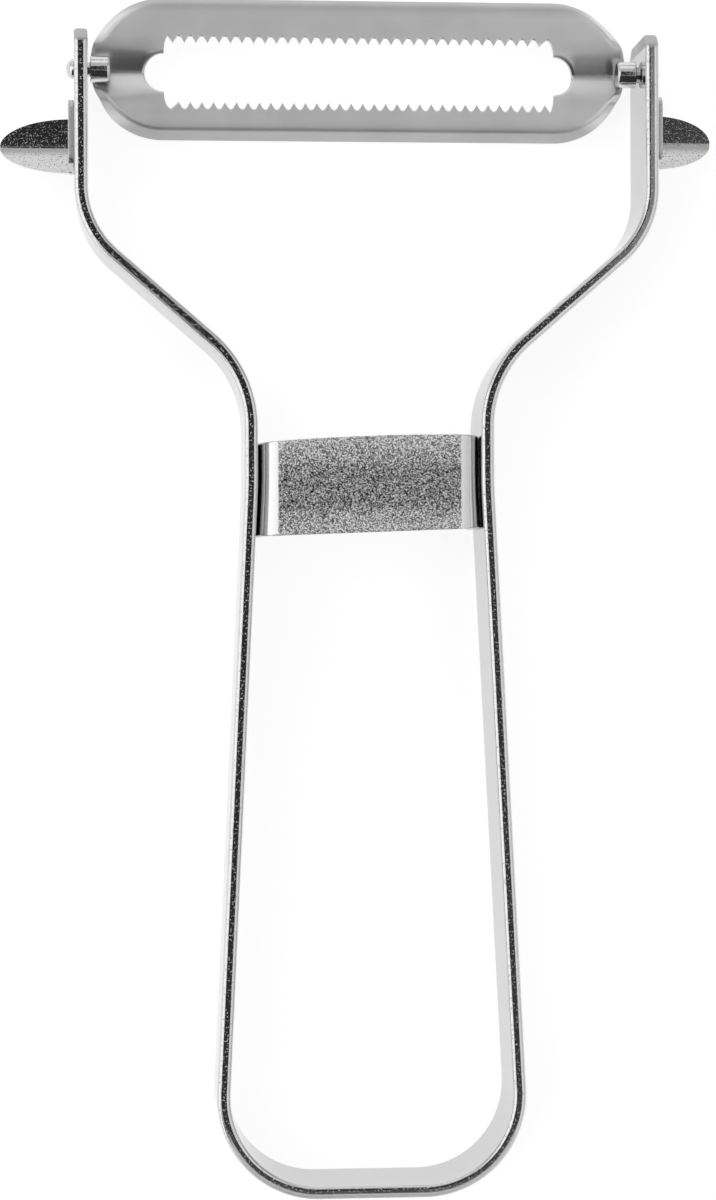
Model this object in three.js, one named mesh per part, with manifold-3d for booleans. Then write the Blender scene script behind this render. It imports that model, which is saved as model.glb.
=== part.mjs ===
// Serrated vegetable peeler.
// A flat steel strip, bent edge-up into a harp, makes the grip loop and two arms. Between the arms
// swivels a slotted blade with teeth on both sides of its slot. A channel of sheet steel braces the
// neck, and each arm carries a scoop for cutting out eyes.
//
// Millimetres, +Z up. The peeler lies on the strip's lower edges. X runs along the blade, Y from the
// grip to the blade, and Z across the strip's width. The origin is under the middle of the peeler.

import * as THREE from 'three';
import { mergeVertices } from 'three/addons/utils/BufferGeometryUtils.js';
import Module from 'manifold-3d';

const wasm = await Module();
wasm.setup();

// Handle strip. The leg rises from the outside of the base bend, and each run above it from the last.
const STRIP_THICKNESS = 1.5;
const STRIP_WIDTH = 11;
const STRIP_EDGE_RADIUS = 0.45;
const BASE_SPAN = 36.1;
const NECK_SPAN = 28.3;
const ARM_SPAN = 66.3;
const LEG_RISE = 80.5;
const NECK_RISE = 12.6;
const FLARE_RISE = 16.5;
const ARM_RISE = 22.4;
const BASE_RADIUS = 10.8;
const NECK_RADIUS = 60;
const WAIST_RADIUS = 13;
const SHOULDER_RADIUS = 10.5;
const TIP_CHAMFER = 1.3;

// Cross plate
const PLATE_BELOW_WAIST = 12.6;
const PLATE_LENGTH = 10.6;
const PLATE_SHEET = 0.8;
const PLATE_BEND = 2.2;
const PLATE_CREASE = THREE.MathUtils.degToRad(12);
const PLATE_DEPTH = 8.6;
const PLATE_SETBACK = 0.2;
const PLATE_RISE = 0.9;
const PLATE_WELD_GAP = 0.1;
const PLATE_END_FIT = 8;

// Pivot studs
const PIVOT_FROM_TIP = 3.9;
const STUD_DIAMETER = 3;
const STUD_LENGTH = 2.2;
const STUD_CHAMFER = 0.3;
const SHANK_DIAMETER = 1.6;
const SHANK_CLEARANCE = 0.1;
const STUD_PLAY = 0.3;
const DOME_DIAMETER = 2.3;
const DOME_HEIGHT = 0.85;
const DOME_PLAY = 0.1;

// Blade. It has slid towards the left arm, and its rim and slot lie above and below the pivot.
const BLADE_WIDTH = 16.5;
const BLADE_END_GAP = 0.75;
const BLADE_SLIDE = 0.5;
const BLADE_RISE = 0.68;
const BLADE_SHEET = 0.6;
const WEB_DROP = 0.9;
const LIP_ANGLE = THREE.MathUtils.degToRad(70);
const LIP_RADIUS = 0.6;
const LIP_DROP = 2.6;
const LIP_FADE_FROM = THREE.MathUtils.degToRad(18);
const LIP_FADE_TO = THREE.MathUtils.degToRad(46);
const TROUGH_GAP = 0.2;
const TROUGH_HALF_WIDTH_OUTER = 3.3;
const TROUGH_HALF_WIDTH_INNER = 2.4;
const TROUGH_HOLLOW = 1.4;

// Toothed slot
const TOOTH_PITCH = 1.32;
const TOOTH_DEPTH = 0.8;
const TIP_GAP = 6.7;
const TOOTH_STAGGER = 0.5;
const LOBE_RADIUS = 2.2;
const SLOT_SETBACK = 0.15;
const SLOT_FALL = 0.06;
const END_GULLET = 1.1;
const GRIND_RUN = 0.55;
const EDGE_LAND = 0.12;

// Eye gougers. The left one is longer and sits lower.
const GOUGER_FROM_TIP_RIGHT = 11.5;
const GOUGER_FROM_TIP_LEFT = 12.5;
const GOUGER_SHEET = 0.65;
const GOUGER_WELD_GAP = 0.05;
const FOOT_LENGTH = 7.6;
const FOOT_WIDTH = 8;
const FOOT_CORNER = 1.2;
const FOOT_CLEARANCE = 1.5;
const FOOT_OFFSET = 0.8;
const SCOOP_REACH_RIGHT = 7.3;
const SCOOP_REACH_LEFT = 8.5;
const SCOOP_WIDTH = 6.1;
const SCOOP_DEPTH = 2.1;
const SCOOP_RIM_FROM_FOOT = 3;
const SCOOP_HOLLOW = 1.3;
const SCOOP_NOSE = 0.95;

// Facets
const ARC_STEP = Math.PI / 30;
const ROUND_SIDES = 24;
const EDGE_STEPS = 3;
const DOME_STEPS = 5;
const PLATE_STEPS = 6;
const BEND_STEPS = 8;
const STEPS_PER_TOOTH = 4;
const CORNER_STEPS = [0, 0.3, 0.65, 1];
const END_STEPS = 22;
const FOOT_STEPS = 5;
const SCOOP_STEPS = 10;
const SCOOP_SIDES = 12;

// Fits that follow from the sizes above
const armInside = ARM_SPAN / 2 - STRIP_THICKNESS;
const armOutside = ARM_SPAN / 2;
const waistHeight = LEG_RISE + NECK_RISE;
const shoulderHeight = waistHeight + FLARE_RISE;
const tipHeight = shoulderHeight + ARM_RISE;
const plateHeight = waistHeight - PLATE_BELOW_WAIST;
const pivotHeight = tipHeight - PIVOT_FROM_TIP;
const pivotLevel = STRIP_WIDTH / 2;
const bladeHalfLength = armInside - BLADE_END_GAP;
const endRadius = BLADE_WIDTH / 2;
const endCentre = bladeHalfLength - endRadius;
const slotHalfLength = endCentre - SLOT_SETBACK;
const stagger = TOOTH_STAGGER * TOOTH_PITCH;
const gulletCount = Math.round((2 * (slotHalfLength - END_GULLET) - stagger) / TOOTH_PITCH);
const toothedHalfLength = gulletCount * TOOTH_PITCH / 2;
const troughDepth = STUD_DIAMETER / 2 + TROUGH_GAP - WEB_DROP;
const overallLength = pivotHeight + BLADE_RISE + endRadius;

function solidOf(geometry) {
  const bare = new THREE.BufferGeometry();
  bare.setAttribute('position', geometry.getAttribute('position').clone());
  if (geometry.index) {
    bare.setIndex(geometry.index.clone());
  }
  const merged = mergeVertices(bare, 1e-5);
  const source = merged.index.array;
  const kept = [];
  for (let i = 0; i < source.length; i += 3) {
    const [a, b, c] = [source[i], source[i + 1], source[i + 2]];
    if (a !== b && b !== c && c !== a) {
      kept.push(a, b, c);
    }
  }
  return new wasm.Manifold(new wasm.Mesh({
    numProp: 3,
    vertProperties: new Float32Array(merged.getAttribute('position').array),
    triVerts: new Uint32Array(kept),
  }));
}

function geometryOf(solid) {
  const mesh = solid.getMesh();
  const points = new Float32Array(mesh.numVert * 3);
  for (let i = 0; i < mesh.numVert; i += 1) {
    points.set(mesh.vertProperties.subarray(i * mesh.numProp, i * mesh.numProp + 3), i * 3);
  }
  const geometry = new THREE.BufferGeometry();
  geometry.setAttribute('position', new THREE.BufferAttribute(points, 3));
  geometry.setIndex(new THREE.BufferAttribute(new Uint32Array(mesh.triVerts), 1));
  return geometry;
}

function indexedGeometry(points, triangles) {
  const geometry = new THREE.BufferGeometry();
  geometry.setAttribute('position', new THREE.Float32BufferAttribute(points.flat(), 3));
  geometry.setIndex(triangles);
  return geometry;
}

function smooth(from, to, value) {
  return THREE.MathUtils.smoothstep(value, from, to);
}

// The strip's middle line: straight runs joined by arcs, with the direction across it at every point.
function filletedLine(corners) {
  const line = [];
  const across = (direction) => new THREE.Vector2(-direction.y, direction.x);
  const last = corners.length - 1;
  const first = corners[1].point.clone().sub(corners[0].point).normalize();
  line.push({ point: corners[0].point.clone(), normal: across(first) });
  for (let i = 1; i < last; i += 1) {
    const corner = corners[i].point;
    const before = corner.clone().sub(corners[i - 1].point).normalize();
    const after = corners[i + 1].point.clone().sub(corner).normalize();
    const turn = Math.atan2(before.cross(after), before.dot(after));
    const radius = corners[i].radius;
    const tangent = radius * Math.tan(Math.abs(turn) / 2);
    const start = corner.clone().addScaledVector(before, -tangent);
    const centre = start.clone().addScaledVector(across(before), Math.sign(turn) * radius);
    const steps = Math.max(2, Math.ceil(Math.abs(turn) / ARC_STEP));
    for (let k = 0; k <= steps; k += 1) {
      const spun = start.clone().rotateAround(centre, turn * k / steps);
      const direction = before.clone().rotateAround(new THREE.Vector2(), turn * k / steps);
      line.push({ point: spun, normal: across(direction) });
    }
  }
  const end = corners[last].point.clone().sub(corners[last - 1].point).normalize();
  line.push({ point: corners[last].point.clone(), normal: across(end) });
  return line;
}

function stripLine() {
  const half = STRIP_THICKNESS / 2;
  const right = [
    { point: new THREE.Vector2(BASE_SPAN / 2 - half, half), radius: BASE_RADIUS },
    { point: new THREE.Vector2(NECK_SPAN / 2 - half, LEG_RISE), radius: NECK_RADIUS },
    { point: new THREE.Vector2(NECK_SPAN / 2 - half, waistHeight), radius: WAIST_RADIUS },
    { point: new THREE.Vector2(ARM_SPAN / 2 - half, shoulderHeight), radius: SHOULDER_RADIUS },
    { point: new THREE.Vector2(ARM_SPAN / 2 - half, tipHeight), radius: 0 },
  ];
  const left = right.map(({ point, radius }) => ({ point: new THREE.Vector2(-point.x, point.y), radius }));
  return filletedLine([...left.reverse(), ...right]);
}

const line = stripLine();

// A line beside the middle line, at a distance to its left: the strip's inner face at half its thickness.
function stripFace(distance) {
  return line.map(({ point, normal }) => point.clone().addScaledVector(normal, distance));
}

// Half the clear width between the legs at a height, measured on the right leg's inner face.
function legInside(height) {
  const face = stripFace(STRIP_THICKNESS / 2).filter((point) => point.x > 0);
  const next = face.findIndex((point) => point.y > height);
  const [below, above] = [face[next - 1], face[next]];
  return THREE.MathUtils.mapLinear(height, below.y, above.y, below.x, above.x);
}

function alongX(radius, length) {
  const cylinder = new THREE.CylinderGeometry(radius, radius, length, ROUND_SIDES);
  cylinder.rotateZ(Math.PI / 2);
  return cylinder;
}

function makeStrip() {
  const inner = stripFace(STRIP_THICKNESS / 2);
  const outer = stripFace(-STRIP_THICKNESS / 2);
  const outline = new THREE.Shape([...outer, ...inner.reverse()]);
  const blank = new THREE.ExtrudeGeometry(outline, {
    depth: STRIP_WIDTH - 2 * STRIP_EDGE_RADIUS,
    bevelEnabled: true,
    bevelThickness: STRIP_EDGE_RADIUS,
    bevelSize: STRIP_EDGE_RADIUS,
    bevelOffset: -STRIP_EDGE_RADIUS,
    bevelSegments: EDGE_STEPS,
  });
  blank.translate(0, 0, STRIP_EDGE_RADIUS);
  let strip = solidOf(blank);
  for (const side of [-1, 1]) {
    const reach = 3 * TIP_CHAMFER;
    const cutter = new THREE.BoxGeometry(2 * ARM_SPAN, 2 * reach, 2 * reach);
    cutter.rotateX(Math.PI / 4);
    const shift = (reach - TIP_CHAMFER / Math.SQRT2) / Math.SQRT2;
    cutter.translate(0, tipHeight + shift, pivotLevel + side * (STRIP_WIDTH / 2 + shift));
    strip = strip.subtract(solidOf(cutter));
  }
  const drill = alongX(SHANK_DIAMETER / 2 + SHANK_CLEARANCE, 2 * ARM_SPAN);
  drill.translate(0, pivotHeight, pivotLevel);
  return geometryOf(strip.subtract(solidOf(drill)));
}

// A channel section drawn in X and Z, drawn out along the legs. Its bends start at a crease, its right
// end sits higher, and its ends follow the legs' inner faces.
function makePlate() {
  const front = STRIP_WIDTH - PLATE_SETBACK;
  const back = front - PLATE_DEPTH;
  const width = legInside(plateHeight) - PLATE_WELD_GAP;
  const radius = PLATE_BEND / (1 - Math.sin(PLATE_CREASE));
  const [bendX, bendZ] = [width - radius, front - radius * Math.cos(PLATE_CREASE)];
  const turned = Math.PI / 2 - PLATE_CREASE;
  const section = new THREE.Shape();
  section.moveTo(-width, back);
  section.lineTo(-width + PLATE_SHEET, back);
  section.absarc(-bendX, bendZ, radius - PLATE_SHEET, Math.PI, Math.PI - turned, true);
  section.absarc(bendX, bendZ, radius - PLATE_SHEET, turned, 0, true);
  section.lineTo(width - PLATE_SHEET, back);
  section.lineTo(width, back);
  section.absarc(bendX, bendZ, radius, 0, turned, false);
  section.absarc(-bendX, bendZ, radius, Math.PI - turned, Math.PI, false);
  const plate = new THREE.ExtrudeGeometry(section, {
    depth: PLATE_LENGTH,
    steps: PLATE_STEPS,
    curveSegments: BEND_STEPS,
    bevelEnabled: false,
  });
  plate.rotateX(Math.PI / 2);
  plate.translate(0, plateHeight + PLATE_LENGTH / 2, 0);
  const points = plate.getAttribute('position');
  for (let i = 0; i < points.count; i += 1) {
    const share = points.getX(i) / width;
    const height = points.getY(i) + share * PLATE_RISE / 2;
    const edge = Math.min(1, Math.abs(share));
    const spread = legInside(height) - PLATE_WELD_GAP - width;
    points.setX(i, points.getX(i) + Math.sign(share) * edge ** PLATE_END_FIT * spread);
    points.setY(i, height);
  }
  return geometryOf(solidOf(plate));
}

// A stepped stud on the X axis: a chamfered shoulder inside the arm, a thin shank through it and a
// peened dome outside.
function makeStud() {
  const shoulder = STUD_DIAMETER / 2;
  const shank = SHANK_DIAMETER / 2;
  const inside = armInside - STUD_PLAY;
  const outside = armOutside + DOME_PLAY;
  const profile = [
    new THREE.Vector2(0, inside - STUD_LENGTH),
    new THREE.Vector2(shoulder - STUD_CHAMFER, inside - STUD_LENGTH),
    new THREE.Vector2(shoulder, inside - STUD_LENGTH + STUD_CHAMFER),
    new THREE.Vector2(shoulder, inside),
    new THREE.Vector2(shank, inside),
    new THREE.Vector2(shank, outside),
  ];
  for (let k = 0; k <= DOME_STEPS; k += 1) {
    const angle = k / DOME_STEPS * Math.PI / 2;
    const radius = DOME_DIAMETER / 2 * Math.cos(angle);
    profile.push(new THREE.Vector2(radius, outside + DOME_HEIGHT * Math.sin(angle)));
  }
  profile[profile.length - 1].x = 0;
  const stud = new THREE.LatheGeometry(profile, ROUND_SIDES);
  stud.rotateZ(-Math.PI / 2);
  return geometryOf(solidOf(stud));
}

// Drop of the sheet into the pressed trough in which a stud lies.
function troughDrop(x, y) {
  const along = smooth(endCentre - LOBE_RADIUS / 2, endCentre + LOBE_RADIUS, Math.abs(x));
  const share = THREE.MathUtils.clamp((Math.abs(x) - endCentre) / endRadius, 0, 1);
  const half = THREE.MathUtils.lerp(TROUGH_HALF_WIDTH_INNER, TROUGH_HALF_WIDTH_OUTER, share);
  const reach = Math.min(1, Math.abs(y) / half);
  return troughDepth * along * (1 - reach) ** TROUGH_HOLLOW;
}

// A slot corner past the last tooth: a quarter ellipse from the end lobe up to the gullets' depth.
function slotCorner(lastTooth, end) {
  const deepest = TIP_GAP / 2 + TOOTH_DEPTH;
  return CORNER_STEPS.map((step) => {
    const angle = step * Math.PI / 2;
    const share = (1 + Math.cos(angle)) / 2;
    return [lastTooth + share * (end - lastTooth), LOBE_RADIUS + Math.sin(angle) * (deepest - LOBE_RADIUS)];
  });
}

// The slot's edge on one long side, from the right to the left: sharp tips with round gullets between.
function toothedEdge(shift) {
  const [rightmost, leftmost] = [shift + toothedHalfLength, shift - toothedHalfLength];
  const teeth = [];
  for (let k = 0; k <= gulletCount * STEPS_PER_TOOTH; k += 1) {
    const phase = k / STEPS_PER_TOOTH;
    const depth = TOOTH_DEPTH * Math.abs(Math.sin(Math.PI * phase));
    teeth.push([rightmost - phase * TOOTH_PITCH, TIP_GAP / 2 + depth]);
  }
  return [
    ...slotCorner(rightmost, slotHalfLength),
    ...teeth,
    ...slotCorner(leftmost, -slotHalfLength).reverse(),
  ];
}

// Pairs of points round the blade: one on the slot's edge, one on the rim, and whether the edge is ground.
// The arcs at the ends are spaced so that their middle pair lies on the pivot axis.
function bladeStations() {
  const stations = [];
  const arc = (turn, radius, height) => {
    const angle = turn * Math.PI / 2 - Math.asin(height / radius) * (1 - turn ** 2);
    return { angle, x: radius * Math.cos(angle), y: height + radius * Math.sin(angle) };
  };
  const ends = (sign) => {
    for (let k = 0; k <= END_STEPS; k += 1) {
      const turn = sign * (2 * k / END_STEPS - 1);
      const lobe = arc(turn, LOBE_RADIUS, -SLOT_FALL);
      const rim = arc(turn, endRadius, BLADE_RISE);
      stations.push({
        inner: [sign * (slotHalfLength + lobe.x), lobe.y],
        outer: [sign * (endCentre + rim.x), rim.y],
        lip: smooth(LIP_FADE_FROM, LIP_FADE_TO, Math.abs(rim.angle)),
        grind: 0,
      });
    }
  };
  const sides = (sign) => {
    const edge = toothedEdge(-stagger / 2).map(([x, y]) => [sign * x, sign * y]);
    for (const [x, y] of edge) {
      stations.push({
        inner: [x, y - SLOT_FALL],
        outer: [x, sign * endRadius + BLADE_RISE],
        lip: 1,
        grind: smooth(0, 2 * TOOTH_PITCH, slotHalfLength - Math.abs(x)),
      });
    }
  };
  ends(1);
  sides(1);
  ends(-1);
  sides(-1);
  return stations;
}

// The closed section between slot and rim: ground edge, flat web, bend, lip, and back along the underside.
function bladeSection({ inner, outer, lip, grind }) {
  const span = Math.hypot(outer[0] - inner[0], outer[1] - inner[1]);
  const direction = [(outer[0] - inner[0]) / span, (outer[1] - inner[1]) / span];
  const bendRun = LIP_RADIUS * Math.sin(LIP_ANGLE);
  const bendDrop = LIP_RADIUS * (1 - Math.cos(LIP_ANGLE));
  const run = bendRun + (LIP_DROP - bendDrop) / Math.tan(LIP_ANGLE);
  const bend = [0, 0.5, 1].map((share) => share * LIP_ANGLE);
  const top = bend.map((angle) => [
    span - run + LIP_RADIUS * Math.sin(angle), -LIP_RADIUS * (1 - Math.cos(angle)), angle]);
  top.push([span, -LIP_DROP, LIP_ANGLE]);
  const upper = top.map(([reach, height]) => [reach, height * lip]);
  const lower = top.map(([reach, height, angle]) => {
    const slope = Math.atan(lip * Math.tan(angle));
    return [reach - BLADE_SHEET * Math.sin(slope), height * lip - BLADE_SHEET * Math.cos(slope)];
  });
  const middle = (span - run) / 2;
  const loop = [
    [0, 0],
    [middle, 0],
    ...upper,
    ...lower.reverse(),
    [middle, -BLADE_SHEET],
    [GRIND_RUN * grind, -BLADE_SHEET],
    [0, -THREE.MathUtils.lerp(BLADE_SHEET / 2, EDGE_LAND, grind)],
  ];
  return loop.map(([reach, height]) => {
    const x = inner[0] + direction[0] * reach;
    const y = inner[1] + direction[1] * reach;
    return [x, y, height - WEB_DROP - troughDrop(x, y)];
  });
}

function makeBlade() {
  const rows = bladeStations().map(bladeSection);
  const size = rows[0].length;
  const triangles = [];
  for (let i = 0; i < rows.length; i += 1) {
    const next = (i + 1) % rows.length;
    for (let j = 0; j < size; j += 1) {
      const beside = (j + 1) % size;
      const [a, b, c, d] = [i * size + j, next * size + j, next * size + beside, i * size + beside];
      triangles.push(a, d, b, b, d, c);
    }
  }
  return geometryOf(solidOf(indexedGeometry(rows.flat(), triangles)));
}

// A scoop on the right arm, drawn from the arm's outer face with its hollow to the front.
function makeGouger(scoopReach) {
  const foot = new THREE.Shape();
  const [w, l, r] = [FOOT_WIDTH, FOOT_LENGTH, FOOT_CORNER];
  foot.moveTo(r, 0);
  foot.lineTo(w - r, 0);
  foot.absarc(w - r, r, r, -Math.PI / 2, 0, false);
  foot.lineTo(w, l - r);
  foot.absarc(w - r, l - r, r, 0, Math.PI / 2, false);
  foot.lineTo(r, l);
  foot.absarc(r, l - r, r, Math.PI / 2, Math.PI, false);
  foot.lineTo(0, r);
  foot.absarc(r, r, r, Math.PI, 1.5 * Math.PI, false);
  const base = new THREE.ExtrudeGeometry(foot, {
    depth: GOUGER_SHEET,
    curveSegments: FOOT_STEPS,
    bevelEnabled: false,
  });
  base.rotateY(Math.PI / 2);
  base.translate(0, FOOT_OFFSET - l / 2, w);

  const [steps, sides] = [SCOOP_STEPS, SCOOP_SIDES];
  const root = GOUGER_SHEET / 2;
  const noseAngle = SCOOP_NOSE * Math.PI / 2;
  const points = [];
  for (const under of [0, 1]) {
    for (let i = 0; i <= steps; i += 1) {
      const angle = i / steps * noseAngle;
      const half = SCOOP_WIDTH / 2 * Math.cos(angle);
      const reach = root + (scoopReach - root) * Math.sin(angle) / Math.sin(noseAngle);
      for (let j = 0; j <= sides; j += 1) {
        const share = 2 * j / sides - 1;
        const drop = SCOOP_DEPTH * Math.cos(angle) * (1 - Math.abs(share) ** SCOOP_HOLLOW);
        points.push([reach, half * share, SCOOP_RIM_FROM_FOOT - drop - under * GOUGER_SHEET]);
      }
    }
  }
  const at = (under, i, j) => (under * (steps + 1) + i) * (sides + 1) + j;
  const triangles = [];
  const quad = (a, b, c, d) => triangles.push(a, b, c, a, c, d);
  for (let i = 0; i < steps; i += 1) {
    for (let j = 0; j < sides; j += 1) {
      quad(at(0, i, j), at(0, i + 1, j), at(0, i + 1, j + 1), at(0, i, j + 1));
      quad(at(1, i, j), at(1, i, j + 1), at(1, i + 1, j + 1), at(1, i + 1, j));
    }
    quad(at(0, i, 0), at(1, i, 0), at(1, i + 1, 0), at(0, i + 1, 0));
    quad(at(0, i, sides), at(0, i + 1, sides), at(1, i + 1, sides), at(1, i, sides));
  }
  for (let j = 0; j < sides; j += 1) {
    quad(at(0, 0, j), at(0, 0, j + 1), at(1, 0, j + 1), at(1, 0, j));
    quad(at(0, steps, j), at(1, steps, j), at(1, steps, j + 1), at(0, steps, j + 1));
  }
  const scoop = solidOf(indexedGeometry(points, triangles));
  return geometryOf(solidOf(base).add(scoop));
}

function steel(color, roughness) {
  return new THREE.MeshStandardMaterial({ color, metalness: 1, roughness });
}

function named(name, geometry, material) {
  const mesh = new THREE.Mesh(geometry, material);
  mesh.name = name;
  return mesh;
}

const peeler = new THREE.Group();
peeler.name = 'vegetable_peeler';
peeler.position.x = (SCOOP_REACH_LEFT - SCOOP_REACH_RIGHT) / 2;
peeler.position.y = -overallLength / 2;

peeler.add(named('handle_strip', makeStrip(), steel(0xd8dadd, 0.15)));
peeler.add(named('cross_plate', makePlate(), steel(0xb4b6ba, 0.45)));

const blade = named('blade', makeBlade(), steel(0xb8babd, 0.3));
blade.position.set(-BLADE_SLIDE, pivotHeight, pivotLevel);
peeler.add(blade);

const rightStud = named('pivot_stud_right', makeStud(), steel(0xd0d2d5, 0.2));
rightStud.position.set(0, pivotHeight, pivotLevel);
peeler.add(rightStud);

const leftStud = named('pivot_stud_left', makeStud(), steel(0xd0d2d5, 0.2));
leftStud.rotation.z = Math.PI;
leftStud.position.set(0, pivotHeight, pivotLevel);
peeler.add(leftStud);

const rightGouger = named('eye_gouger_right', makeGouger(SCOOP_REACH_RIGHT), steel(0xc4c6ca, 0.22));
const gougerPlace = armOutside + GOUGER_WELD_GAP;
rightGouger.position.set(gougerPlace, tipHeight - GOUGER_FROM_TIP_RIGHT, FOOT_CLEARANCE);
peeler.add(rightGouger);

const leftGouger = named('eye_gouger_left', makeGouger(SCOOP_REACH_LEFT), steel(0xc4c6ca, 0.22));
leftGouger.scale.x = -1;
leftGouger.position.set(-gougerPlace, tipHeight - GOUGER_FROM_TIP_LEFT, FOOT_CLEARANCE);
peeler.add(leftGouger);

export default peeler;
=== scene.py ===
import math

import bpy
import numpy as np
from mathutils import Matrix, Vector


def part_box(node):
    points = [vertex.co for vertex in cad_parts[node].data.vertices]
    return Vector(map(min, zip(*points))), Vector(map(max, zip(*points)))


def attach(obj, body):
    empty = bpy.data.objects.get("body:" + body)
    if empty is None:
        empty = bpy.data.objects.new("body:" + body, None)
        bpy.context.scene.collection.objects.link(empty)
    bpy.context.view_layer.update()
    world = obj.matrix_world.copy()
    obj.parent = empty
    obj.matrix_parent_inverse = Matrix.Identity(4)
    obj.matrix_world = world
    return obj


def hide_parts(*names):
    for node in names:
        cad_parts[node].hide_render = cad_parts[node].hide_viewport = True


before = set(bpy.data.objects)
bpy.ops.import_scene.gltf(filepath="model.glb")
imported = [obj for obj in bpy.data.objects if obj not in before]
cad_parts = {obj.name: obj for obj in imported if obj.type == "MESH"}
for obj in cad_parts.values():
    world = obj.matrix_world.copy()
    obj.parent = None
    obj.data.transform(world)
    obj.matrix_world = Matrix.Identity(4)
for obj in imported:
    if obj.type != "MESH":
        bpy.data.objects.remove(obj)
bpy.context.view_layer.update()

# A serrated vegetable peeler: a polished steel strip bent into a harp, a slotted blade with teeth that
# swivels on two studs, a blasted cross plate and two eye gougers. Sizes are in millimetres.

MM = 0.001


def corners_of(node):
    """Lowest and highest corner of a solid of the frame, in millimetres."""
    low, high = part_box(node)
    return np.array(low) / MM, np.array(high) / MM


strip_low, strip_high = corners_of("handle_strip")
stud_low, stud_high = corners_of("pivot_stud_right")

# Handle strip. The leg rises from the outside of the base bend, and each run above it from the last.
STRIP_THICKNESS = 1.5
STRIP_EDGE_RADIUS = 0.45
BASE_SPAN = 36.1
NECK_SPAN = 28.3
LEG_RISE = 80.5
NECK_RISE = 12.6
FLARE_RISE = 16.5
BASE_RADIUS = 10.8
NECK_RADIUS = 60
WAIST_RADIUS = 13
SHOULDER_RADIUS = 10.5
TIP_CHAMFER = 1.3
TIP_ROUND = 0.3
strip_width = strip_high[2]
base_height = strip_low[1]
tip_height = strip_high[1]
middle = (strip_low[0] + strip_high[0]) / 2
arm_outside = strip_high[0] - middle
arm_inside = arm_outside - STRIP_THICKNESS
neck_height = base_height + LEG_RISE
waist_height = neck_height + NECK_RISE
shoulder_height = waist_height + FLARE_RISE
pivot_height = (stud_low[1] + stud_high[1]) / 2
pivot_level = strip_width / 2

# Cross plate
PLATE_BELOW_WAIST = 12.6
PLATE_LENGTH = 10.6
PLATE_SHEET = 0.8
PLATE_BEND = 2.2
PLATE_CREASE = math.radians(12)
PLATE_DEPTH = 8.6
PLATE_SETBACK = 0.2
PLATE_RISE = 0.9
PLATE_WELD_GAP = 0.1
PLATE_END_FIT = 8
PLATE_TOP_CROWN = 0.3
PLATE_EDGE_ROUND = 0.14
plate_height = waist_height - PLATE_BELOW_WAIST
plate_front = strip_width - PLATE_SETBACK

# Pivot studs
STUD_DIAMETER = 3
STUD_LENGTH = 2.2
STUD_CHAMFER = 0.3
SHANK_DIAMETER = 1.6
SHANK_CLEARANCE = 0.1
STUD_PLAY = 0.3
DOME_DIAMETER = 2.3
DOME_HEIGHT = 0.85
DOME_PLAY = 0.1

# Blade. It has slid towards the left arm. Its rim is centred above the pivot axis, and its slot a trace
# below it.
BLADE_WIDTH = 16.5
BLADE_END_GAP = 0.75
BLADE_SLIDE = 0.5
BLADE_RISE = 0.68
BLADE_SHEET = 0.6
WEB_DROP = 0.9
LIP_ANGLE = math.radians(70)
LIP_RADIUS = 0.6
LIP_DROP = 2.6
LIP_FADE_FROM = math.radians(18)
LIP_FADE_TO = math.radians(46)
TROUGH_GAP = 0.2
TROUGH_HALF_WIDTH_OUTER = 3.3
TROUGH_HALF_WIDTH_INNER = 2.4
TROUGH_HOLLOW = 1.4
TROUGH_CREASE = 0.35
end_radius = BLADE_WIDTH / 2
end_centre = arm_inside - BLADE_END_GAP - end_radius
trough_depth = STUD_DIAMETER / 2 + TROUGH_GAP - WEB_DROP

# Toothed slot
TOOTH_PITCH = 1.32
TOOTH_DEPTH = 0.8
TIP_GAP = 6.7
TOOTH_STAGGER = 0.5
LOBE_RADIUS = 2.2
SLOT_SETBACK = 0.15
SLOT_FALL = 0.06
END_GULLET = 1.1
GRIND_RUN = 0.55
GRIND_FADE_TEETH = 2
EDGE_LAND = 0.12
EDGE_BREAK = 0.05
slot_half_length = end_centre - SLOT_SETBACK
stagger = TOOTH_STAGGER * TOOTH_PITCH
gullet_count = round((2 * (slot_half_length - END_GULLET) - stagger) / TOOTH_PITCH)
toothed_half_length = gullet_count * TOOTH_PITCH / 2

# Eye gougers. The left one is longer and sits lower. Both end 0.01 mm short of their solids' noses.
GOUGER_FROM_TIP = {"right": 11.5, "left": 12.5}
SCOOP_REACH = {"right": 7.29, "left": 8.49}
GOUGER_SHEET = 0.65
GOUGER_WELD_GAP = 0.05
FOOT_LENGTH = 7.6
FOOT_WIDTH = 8
FOOT_CORNER = 1.2
FOOT_CLEARANCE = 1.5
FOOT_OFFSET = 0.8
FOOT_EDGE_ROUND = 0.1
SCOOP_WIDTH = 6.1
SCOOP_DEPTH = 1.4
SCOOP_RIM_FROM_FOOT = 3
SCOOP_HOLLOW = 1.3
SCOOP_NOSE = 0.95
foot_top = FOOT_CLEARANCE + FOOT_WIDTH

# Fineness of the surfaces
ARC_STEP = math.radians(2)
RUN_STEP = 2.0
EDGE_STEPS = 7
SUPPORT = 0.08
TEETH_STEPS = 12
END_STEPS = 72
WEB_STEPS = 14
BEND_STEPS = 8
ROUND_SIDES = 64
SCOOP_STEPS = 40
SCOOP_SIDES = 36
PLATE_RUN_STEPS = 30
SHARP_ANGLE = math.radians(40)
BLADE_SHARP_ANGLE = math.radians(60)

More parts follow.
